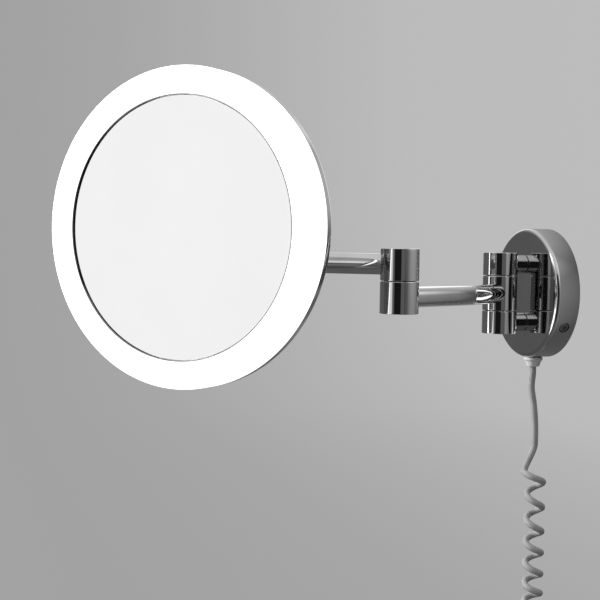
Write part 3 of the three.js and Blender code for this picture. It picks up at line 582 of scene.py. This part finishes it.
def buildKnuckle(bottom, height, lower, upper, seat):
    radius, bore, top = barrel["radius"], barrel["bore"], bottom + height
    (lowRadius, lowDepth), (highRadius, highDepth) = pockets[lower], pockets[upper]
    bm = spinProfile([(bore, bottom + lowDepth), (lowRadius, bottom + lowDepth), (lowRadius, bottom),
                      (radius, bottom), (radius, top), (highRadius, top), (highRadius, top - highDepth),
                      (bore, top - highDepth)], 112)
    for height in (bottom, top):
        softenEdges(bm, barrel["edge"], 3, ringAt(radius, height))
    softenEdges(bm, barrel["lip"], 2, ringAt(lowRadius, bottom))
    softenEdges(bm, barrel["lip"], 2, ringAt(highRadius, top))
    return place(bm, seat)


def buildCap(bottom, seat):
    top = bottom + barrel["capHeight"]
    bm = rod(barrel["capRadius"], bottom, top, 96)
    softenEdges(bm, barrel["capEdge"], 3)
    return place(bm, seat)


armBottom, armHeight = barrel["armBottom"], barrel["armHeight"]
armTop = armBottom + armHeight
hingeEnd, endHeight = barrel["hingeEnd"], barrel["endHeight"]
knuckles = [
    ("hinge_barrel_top", "hinge_knuckle_top", "wall_plate",
     hingeEnd - endHeight, endHeight, "plain", "nut", hingeSeat),
    ("hinge_barrel_bottom", "hinge_knuckle_bottom", "wall_plate",
     -hingeEnd, endHeight, "head", "washer", hingeSeat),
    ("hinge_barrel_middle", "hinge_knuckle_middle", "inner_arm",
     barrel["middleBottom"], barrel["middleHeight"], "plain", "washer", innerSeat),
    ("elbow_barrel_lower", "elbow_knuckle_lower", "inner_arm",
     armBottom, armHeight, "head", "washer", elbowSeat),
    ("elbow_barrel_upper", "elbow_knuckle_upper", "outer_arm",
     armBottom, armHeight, "plain", "nut", outerSeat),
    ("swivel_barrel_lower", "swivel_knuckle_lower", "outer_arm",
     armBottom, armHeight, "head", "washer", lowerSwivelSeat),
    ("swivel_barrel_upper", "swivel_knuckle_upper", "swivel",
     armBottom, armHeight, "plain", "nut", swivelSeat),
]
for name, node, body, bottom, height, lower, upper, seat in knuckles:
    addPiece(name, buildKnuckle(bottom, height, lower, upper, seat), body, "chrome", [node])
caps = [
    ("hinge_end_bottom", "hinge_cap_bottom", "wall_plate", -hingeEnd, hingeSeat),
    ("hinge_end_top", "hinge_cap_top", "wall_plate", hingeEnd - barrel["capHeight"], hingeSeat),
    ("elbow_end_bottom", "elbow_cap_bottom", "inner_arm", armBottom, elbowSeat),
    ("elbow_end_top", "elbow_cap_top", "outer_arm", armTop - barrel["capHeight"], outerSeat),
    ("swivel_end_bottom", "swivel_cap_bottom", "outer_arm", armBottom, lowerSwivelSeat),
    ("swivel_end_top", "swivel_cap_top", "swivel", armTop - barrel["capHeight"], swivelSeat),
]
for name, node, body, bottom, seat in caps:
    addPiece(name, buildCap(bottom, seat), body, "chrome", [node])
print("barrels made")

# Arms: a straight tube and a bent one
tube = {
    "radius": 6.5, "bore": 5.3, "start": 9.8, "sides": 64,
    "bend": (11, -46), "bendRun": 30, "bendSteps": 24,
}


def startTube(setup, at, along):
    bm = bmesh.new()
    for radius in (setup["radius"], setup["bore"]):
        bmesh.ops.create_circle(bm, segments=setup["sides"], radius=radius)
    bmesh.ops.bridge_loops(bm, edges=bm.edges[:])
    turn = along.to_track_quat("Z", "Y").to_matrix().to_4x4()
    return moved(bm, shift(*at) @ turn)


def extend(bm, faces, run=None, turn=None, centre=(0, 0, 0)):
    grown = bmesh.ops.extrude_face_region(bm, geom=faces)["geom"]
    verts = [item for item in grown if isinstance(item, bmesh.types.BMVert)]
    if run:
        bmesh.ops.translate(bm, vec=run, verts=verts)
    if turn:
        bmesh.ops.rotate(bm, cent=centre, matrix=Matrix.Rotation(turn, 3, "Z"), verts=verts)
    spent = [face for face in faces if any(len(edge.link_faces) > 2 for edge in face.edges)]
    bmesh.ops.delete(bm, geom=spent, context="FACES")
    return [item for item in grown if isinstance(item, bmesh.types.BMFace)]


def buildStraightTube(setup):
    along = Vector((0, -1, 0))
    bm = startTube(setup, along * setup["start"], along)
    extend(bm, bm.faces[:], along * (arms["length"] - 2 * setup["start"]))
    bmesh.ops.recalc_face_normals(bm, faces=bm.faces)
    return place(bm, outerSeat)


def buildBentTube(setup):
    bend, end = Vector((*setup["bend"], 0)), Vector((0, -arms["length"], 0))
    first, second = bend.normalized(), (end - bend).normalized()
    turn = first.angle(second)
    bendRadius = setup["bendRun"] / tan(turn / 2)
    bm = startTube(setup, first * setup["start"], first)
    faces = extend(bm, bm.faces[:], first * (bend.length - setup["bendRun"] - setup["start"]))
    centre = first * (bend.length - setup["bendRun"]) + Vector((first.y, -first.x, 0)) * bendRadius
    for step in range(setup["bendSteps"]):
        faces = extend(bm, faces, turn=-turn / setup["bendSteps"], centre=centre)
    extend(bm, faces, second * ((end - bend).length - setup["bendRun"] - setup["start"]))
    bmesh.ops.recalc_face_normals(bm, faces=bm.faces)
    return place(bm, innerSeat)


addPiece("inner_tube", buildBentTube(tube), "inner_arm", "chrome", ["inner_arm_tube"])
addPiece("outer_tube", buildStraightTube(tube), "outer_arm", "chrome", ["outer_arm_tube"])
print("arms made")

# Tilt joint: eye on the swivel, bracket on the head
tilt = {
    "reach": arms["tiltReach"], "eyeRadius": 4.5, "eyeWidth": 7,
    "stemRadius": 3, "stemStart": 7.3, "stemDrop": 1.5,
    "pinRadius": 2, "pinHead": 3.4, "pinHeadHeight": 1.8, "lugEnd": 6.9, "lugWidth": 3, "overrun": 3,
    "nutHeight": 2.2, "baseFace": 5, "baseRadius": 18, "baseThickness": 2, "fit": 0.3,
    "screwSpread": 15, "screwRadius": 1.4, "screwHead": 2.6, "screwHeadHeight": 1.6, "screwLength": 9,
    "crossLength": 3.0, "crossWidth": 0.7, "crossDepth": 0.7,
}


def buildEye(setup):
    along = shift(0, -setup["reach"], 0) @ turnY(90)
    eye = rod(setup["eyeRadius"], -setup["eyeWidth"] / 2, setup["eyeWidth"] / 2, 64)
    softenEdges(eye, 0.5, 3)
    stem = moved(rod(setup["stemRadius"], setup["stemStart"], setup["reach"], 48),
                 shift(0, 0, -setup["stemDrop"]) @ outOfWall)
    bm = combine(moved(eye, along), [stem], "UNION")
    hole = moved(rod(setup["pinRadius"] + setup["fit"], -setup["eyeWidth"], setup["eyeWidth"], 40), along)
    return place(combine(bm, [hole]), swivelSeat)


def buildLug(setup, side):
    bm = bmesh.new()
    bmesh.ops.create_cube(bm, size=1)
    length = setup["eyeRadius"] + setup["baseFace"] + 0.5
    bmesh.ops.scale(bm, vec=(setup["lugWidth"], length, 2 * setup["eyeRadius"]), verts=bm.verts)
    bmesh.ops.translate(bm, vec=(side * (setup["lugEnd"] - setup["lugWidth"] / 2),
                                 setup["eyeRadius"] - length / 2, 0), verts=bm.verts)
    rear = [edge for edge in bm.edges if all(vert.co.y > setup["eyeRadius"] - 0.1 for vert in edge.verts)
            and abs(edge.verts[0].co.x - edge.verts[1].co.x) > 1]
    bmesh.ops.bevel(bm, geom=rear, offset=setup["eyeRadius"] - 0.02, offset_type="OFFSET", segments=12,
                    profile=0.5, affect="EDGES", material=-1, clamp_overlap=True)
    return bm


def buildTiltBracket(setup):
    base = rod(setup["baseRadius"], setup["baseFace"], setup["baseFace"] + setup["baseThickness"], 112)
    softenEdges(base, 0.5, 3, ringAt(setup["baseRadius"], setup["baseFace"]))
    bm = combine(moved(base, outOfWall), [buildLug(setup, side) for side in (1, -1)], "UNION")
    holes = [moved(rod(setup["pinRadius"] + setup["fit"], -12, 12, 40), turnY(90))]
    holes += [moved(rod(setup["screwRadius"] + setup["fit"], 0, 10, 32),
                    shift(0, 0, side * setup["screwSpread"]) @ outOfWall) for side in (1, -1)]
    return place(combine(bm, holes), headSeat)


def buildTiltPin(setup):
    head = -setup["lugEnd"] - setup["fit"]
    top, end = head - setup["pinHeadHeight"], setup["lugEnd"] + setup["overrun"]
    bm = spinProfile([(0, top), (setup["pinHead"], top), (setup["pinHead"], head),
                      (setup["pinRadius"], head), (setup["pinRadius"], end), (0, end)], 48)
    softenEdges(bm, 0.5, 3, lambda edge: (edge.verts[0].co.z < head - 1
                                          or edge.verts[0].co.z > setup["lugEnd"] + 1))
    return place(bm, headSeat @ turnY(90))


def buildTiltNut(setup):
    bottom = setup["lugEnd"] + setup["fit"]
    bm = bmesh.new()
    bmesh.ops.create_cone(bm, cap_ends=True, segments=6, radius1=setup["pinHead"], radius2=setup["pinHead"],
                          depth=setup["nutHeight"])
    bmesh.ops.translate(bm, vec=(0, 0, bottom + setup["nutHeight"] / 2), verts=bm.verts)
    softenEdges(bm, 0.25, 2)
    hole = rod(setup["pinRadius"] + setup["fit"], 0, 2 * bottom, 40)
    return place(combine(bm, [hole]), headSeat @ turnY(90))


def buildBracketScrew(setup, side):
    face = setup["baseFace"] - setup["fit"]
    top, end = face - setup["screwHeadHeight"], setup["baseFace"] + setup["screwLength"]
    bm = spinProfile([(0, top), (setup["screwHead"], top), (setup["screwHead"], face),
                      (setup["screwRadius"], face), (setup["screwRadius"], end), (0, end)], 40)
    softenEdges(bm, 0.6, 4, ringAt(setup["screwHead"], top))
    seat = headSeat @ shift(0, 0, side * setup["screwSpread"]) @ outOfWall
    return place(combine(bm, crossCutters(setup, top)), seat)


addPiece("tilt_lug", buildEye(tilt), "swivel", "chrome", ["tilt_eye"])
addPiece("tilt_base", buildTiltBracket(tilt), "head", "chrome", ["tilt_bracket"])
addPiece("tilt_axle", buildTiltPin(tilt), "head", "screwChrome", ["tilt_pin"])
addPiece("tilt_locknut", buildTiltNut(tilt), "head", "screwChrome", ["tilt_nut"])
for word, side in upperAndLower:
    addPiece(f"base_screw_{word}", buildBracketScrew(tilt, side), "head", "screwChrome",
             [f"bracket_screw_{word}"])
print("tilt joint made")

# Head: light ring, bezel, hollow mirror and rear cover
head = {
    "radius": 100, "ringInner": 83.2, "ringDepth": 11.8, "ringWall": 2, "lip": 5, "ringEdge": 1.2,
    "bezelInner": 82.2, "bezelOuter": 82.9, "bezelFront": 0.4,
    "glassRadius": 81.9, "glassFront": 1.9, "glassThickness": 3, "hollow": 1000, "glassRings": 20,
    "rearFront": 12.1, "rearBand": 18.5, "rearBack": 21.2, "rearWall": 1.5, "rearEdge": 2, "flatRadius": 24,
    "leadHole": 3, "sides": 192,
}


def buildLightRing(setup):
    radius, inner, lip = setup["radius"], setup["ringInner"], setup["lip"]
    wall, depth = setup["ringWall"], setup["ringDepth"]
    bm = spinProfile([(inner, 0), (radius, 0), (radius, depth), (radius - wall, depth), (radius - wall, wall),
                      (inner + wall, wall), (inner + wall, lip), (inner, lip)], setup["sides"])
    softenEdges(bm, setup["ringEdge"], 6, ringAt(radius, 0))
    softenEdges(bm, 0.35, 3, ringAt(inner, 0))
    softenEdges(bm, 0.2, 2, ringAt(radius, depth))
    return place(bm, frontSeat)


def buildBezel(setup):
    front, back = setup["bezelFront"], setup["lip"]
    bm = spinProfile([(setup["bezelInner"], front), (setup["bezelOuter"], front), (setup["bezelOuter"], back),
                      (setup["bezelInner"], back)], setup["sides"])
    softenEdges(bm, 0.2, 3, lambda edge: max(vert.co.z for vert in edge.verts) < front + 0.1)
    return place(bm, frontSeat)


def buildGlass(setup):
    hollow, rings = setup["hollow"], setup["glassRings"]
    edge = asin(setup["glassRadius"] / hollow)
    angles = [edge * step / rings for step in range(rings + 1)]
    front = [(hollow * sin(angle), setup["glassFront"] + hollow * (cos(angle) - cos(edge)))
             for angle in angles]
    back = [(radius, depth + setup["glassThickness"]) for radius, depth in reversed(front)]
    bm = spinProfile(front + back, setup["sides"])
    softenEdges(bm, 0.3, 2, angle=60)
    return place(bm, frontSeat)


def buildRearCover(setup):
    radius, flat, wall = setup["radius"], setup["flatRadius"], setup["rearWall"]
    front, band, back = setup["rearFront"], setup["rearBand"], setup["rearBack"]
    bm = spinProfile([(radius - wall, front), (radius, front), (radius, band), (flat, back), (0, back),
                      (0, back - wall), (flat, back - wall), (radius - wall, band - wall)], setup["sides"])
    softenEdges(bm, setup["rearEdge"], 6, ringAt(radius, band))
    softenEdges(bm, 5, 4, ringAt(flat, back), angle=1)
    softenEdges(bm, 0.25, 2, ringAt(radius, front))
    holes = [moved(rod(tilt["screwRadius"] + tilt["fit"], back - 4, back + 4, 32),
                   shift(0, side * tilt["screwSpread"], 0)) for side in (1, -1)]
    holes.append(rod(setup["leadHole"], back - 4, back + 4, 32))
    return place(combine(bm, holes), frontSeat)


addPiece("light_ring", buildLightRing(head), "head", "opal", ["light_diffuser"])
addPiece("ring_bezel", buildBezel(head), "head", "shadedBezelChrome", ["mirror_bezel"])
addPiece("hollow_mirror", buildGlass(head), "head", "silver", ["mirror_glass"])
addPiece("head_shell", buildRearCover(head), "head", "headChrome", ["rear_cover"])
print("head made")

# Finishes for the solids that stay as they were drawn
keptSolids = {
    "steel": ["wall_bracket", "post_nut_upper", "post_nut_lower", "hinge_pin", "hinge_nut", "elbow_pin",
              "elbow_nut", "swivel_pin", "swivel_nut"],
    "nylon": ["hinge_washer_lower", "hinge_washer_upper", "elbow_washer", "swivel_washer"],
    "leadSkin": ["inner_arm_lead", "outer_arm_lead"],
    "whitePlastic": ["led_driver", "terminal_block", "gland_nut", "supply_lead"],
    "aluminium": ["mirror_carrier"],
    "board": ["led_board"],
    "backing": ["mirror_backing"],
}
for finish, names in keptSolids.items():
    for name in names:
        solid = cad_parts[name]
        solid.data.materials.clear()
        solid.data.materials.append(finishes[finish])
print("kept solids finished")

# Floor, backdrop, lights
studio = {"floor": -0.56, "radius": 4.5, "height": 4.0, "sweep": 1.2, "sides": 64}


def rampAlong(nodes, links, coordinates, axis, stops):
    split = nodes.new("ShaderNodeSeparateXYZ")
    links.new(coordinates, split.inputs["Vector"])
    first, last = stops[0][0], stops[-1][0]
    spread = nodes.new("ShaderNodeMapRange")
    spread.inputs["From Min"].default_value, spread.inputs["From Max"].default_value = first, last
    links.new(split.outputs[axis], spread.inputs["Value"])
    ramp = nodes.new("ShaderNodeValToRGB")
    elements = ramp.color_ramp.elements
    while len(elements) < len(stops):
        elements.new(0.5)
    for element, (at, level) in zip(elements, stops):
        element.position = (at - first) / (last - first)
        element.color = (level, level, level, 1)
    links.new(spread.outputs["Result"], ramp.inputs["Fac"])
    return ramp.outputs["Color"]


def glowFinish(name, tones, levels=None):
    material = bpy.data.materials.new(name)
    material.use_nodes = True
    nodes, links = material.node_tree.nodes, material.node_tree.links
    nodes.remove(nodes["Principled BSDF"])
    glow = nodes.new("ShaderNodeEmission")
    links.new(glow.outputs["Emission"], nodes["Material Output"].inputs["Surface"])
    coordinates = nodes.new("ShaderNodeTexCoord").outputs["Object"]
    links.new(rampAlong(nodes, links, coordinates, *tones), glow.inputs["Color"])
    if levels:
        links.new(rampAlong(nodes, links, coordinates, *levels), glow.inputs["Strength"])
    return material


def stageObject(name, bm, material, **seenBy):
    mesh = bpy.data.meshes.new(name)
    bm.to_mesh(mesh)
    bm.free()
    mesh.materials.append(material)
    mesh.shade_smooth()
    item = bpy.data.objects.new(name, mesh)
    bpy.context.scene.collection.objects.link(item)
    for ray, seen in seenBy.items():
        setattr(item, f"visible_{ray}", seen)
    return item


def buildBowl(setup):
    radius, floor, sweep = setup["radius"], setup["floor"], setup["sweep"]
    outline = [(0, floor), (radius - sweep, floor)]
    outline += [(radius - sweep + sweep * sin(radians(angle)), floor + sweep - sweep * cos(radians(angle)))
                for angle in range(10, 91, 10)]
    outline.append((radius, setup["height"]))
    bm = bmesh.new()
    verts = [bm.verts.new((reach, 0, height)) for reach, height in outline]
    edges = [bm.edges.new(pair) for pair in zip(verts, verts[1:])]
    bmesh.ops.spin(bm, geom=verts + edges, cent=(0, 0, 0), axis=(0, 0, 1), angle=2 * pi,
                   steps=setup["sides"], use_merge=True)
    bmesh.ops.remove_doubles(bm, verts=bm.verts, dist=1e-4)
    return bm


def buildCard(corner, opposite):
    low, high = Vector(corner), Vector(opposite)
    bm = bmesh.new()
    bmesh.ops.create_cube(bm, size=1)
    bmesh.ops.scale(bm, vec=high - low, verts=bm.verts)
    bmesh.ops.translate(bm, vec=(low + high) / 2, verts=bm.verts)
    return bm


bowlTones = ("Y", [(-4.5, 0.44), (-0.1, 0.36), (0.4, 0.38), (1.7, 0.50), (4.5, 0.52)])
stageObject("studio_floor", buildBowl(studio), glowFinish("studio_grey", bowlTones),
            glossy=False, diffuse=False, transmission=False, shadow=False)
# seen only in the reflections: the room in front, its windows, the dark side and the wall; the wall's glow
# carries painted shade and a painted band of light
cards = {
    "front_card": {
        "low": (-0.36, -1.82, -1.3), "high": (0.95, -1.80, 1.5),
        "tones": ("X", [(-0.36, 0.74), (-0.1, 0.84), (0.2, 0.94), (0.7, 0.94), (0.95, 0.1)]),
    },
    "side_window": {
        "low": (-0.60, -1.78, -0.9), "high": (-0.24, -1.77, 1.1),
        "tones": ("X", [(-0.60, 1.0), (-0.24, 1.0)]), "levels": ("Z", [(-0.9, 3.0), (1.1, 3.0)]),
    },
    "upper_window": {
        "low": (-0.24, -1.78, 0.42), "high": (0.36, -1.77, 1.7),
        "tones": ("X", [(-0.24, 1.0), (0.36, 1.0)]), "levels": ("Z", [(0.42, 2.6), (1.7, 2.6)]),
    },
    "lower_window": {
        "low": (-0.24, -1.78, -1.6), "high": (0.36, -1.77, -0.42),
        "tones": ("X", [(-0.24, 1.0), (0.36, 1.0)]), "levels": ("Z", [(-1.6, 2.6), (-0.42, 2.6)]),
    },
    "right_card": {
        "low": (1.30, -1.78, -1.4), "high": (1.32, -0.46, 0.9),
        "tones": ("Y", [(-1.78, 0.01), (-0.46, 0.012)]),
    },
    # the wall's glow is painted with shade: darker round the wall plate and darker below it, where the
    # plate's shadow falls, with a brighter painted band of light just above the plate; it also dims again far
    # along +X
    "shaded_wall_card": {
        "low": (-1.6, 0.006, -1.4), "high": (1.5, 0.008, 1.5),
        "tones": ("X", [(-1.6, 1.0), (-0.09, 1.0), (-0.045, 0.45), (0.046, 0.32), (0.062, 0.55),
                        (0.09, 0.8), (0.12, 0.95), (0.18, 1.0), (0.4, 0.35), (1.5, 0.2)]),
        "levels": ("Z", [(-1.4, 0.12), (-0.25, 0.14), (-0.12, 0.34), (-0.02, 0.34), (0.03, 0.42),
                         (0.08, 1.5), (0.14, 1.5), (0.3, 0.65), (1.5, 0.7)]),
    },
}
for name, setup in cards.items():
    stageObject(name, buildCard(setup["low"], setup["high"]),
                glowFinish(name, setup["tones"], setup.get("levels")),
                camera=False, shadow=False, diffuse=name == "front_card")


def addArea(name, place, aim, size, power):
    data = bpy.data.lights.new(name, "AREA")
    data.shape = "RECTANGLE"
    data.size, data.size_y = size
    data.energy = power
    light = bpy.data.objects.new(name, data)
    bpy.context.scene.collection.objects.link(light)
    light.location = place
    light.rotation_euler = (Vector(aim) - Vector(place)).to_track_quat("-Z", "Y").to_euler()
    light.visible_camera = False
    light.visible_glossy = False


def addWorld(stops):
    world = bpy.data.worlds.new("studio_air")
    world.use_nodes = True
    nodes, links = world.node_tree.nodes, world.node_tree.links
    around = nodes.new("ShaderNodeTexCoord").outputs["Generated"]
    links.new(rampAlong(nodes, links, around, "Z", stops), nodes["Background"].inputs["Color"])
    bpy.context.scene.world = world


addWorld([(-1, 0.14), (-0.5, 0.10), (-0.15, 0.13), (0.2, 0.14), (0.45, 0.35), (0.7, 0.8), (1, 0.8)])
addArea("key_light", (-0.9, -1.7, 0.5), (0, -0.05, -0.1), (0.5, 0.9), 34)
print("studio made")
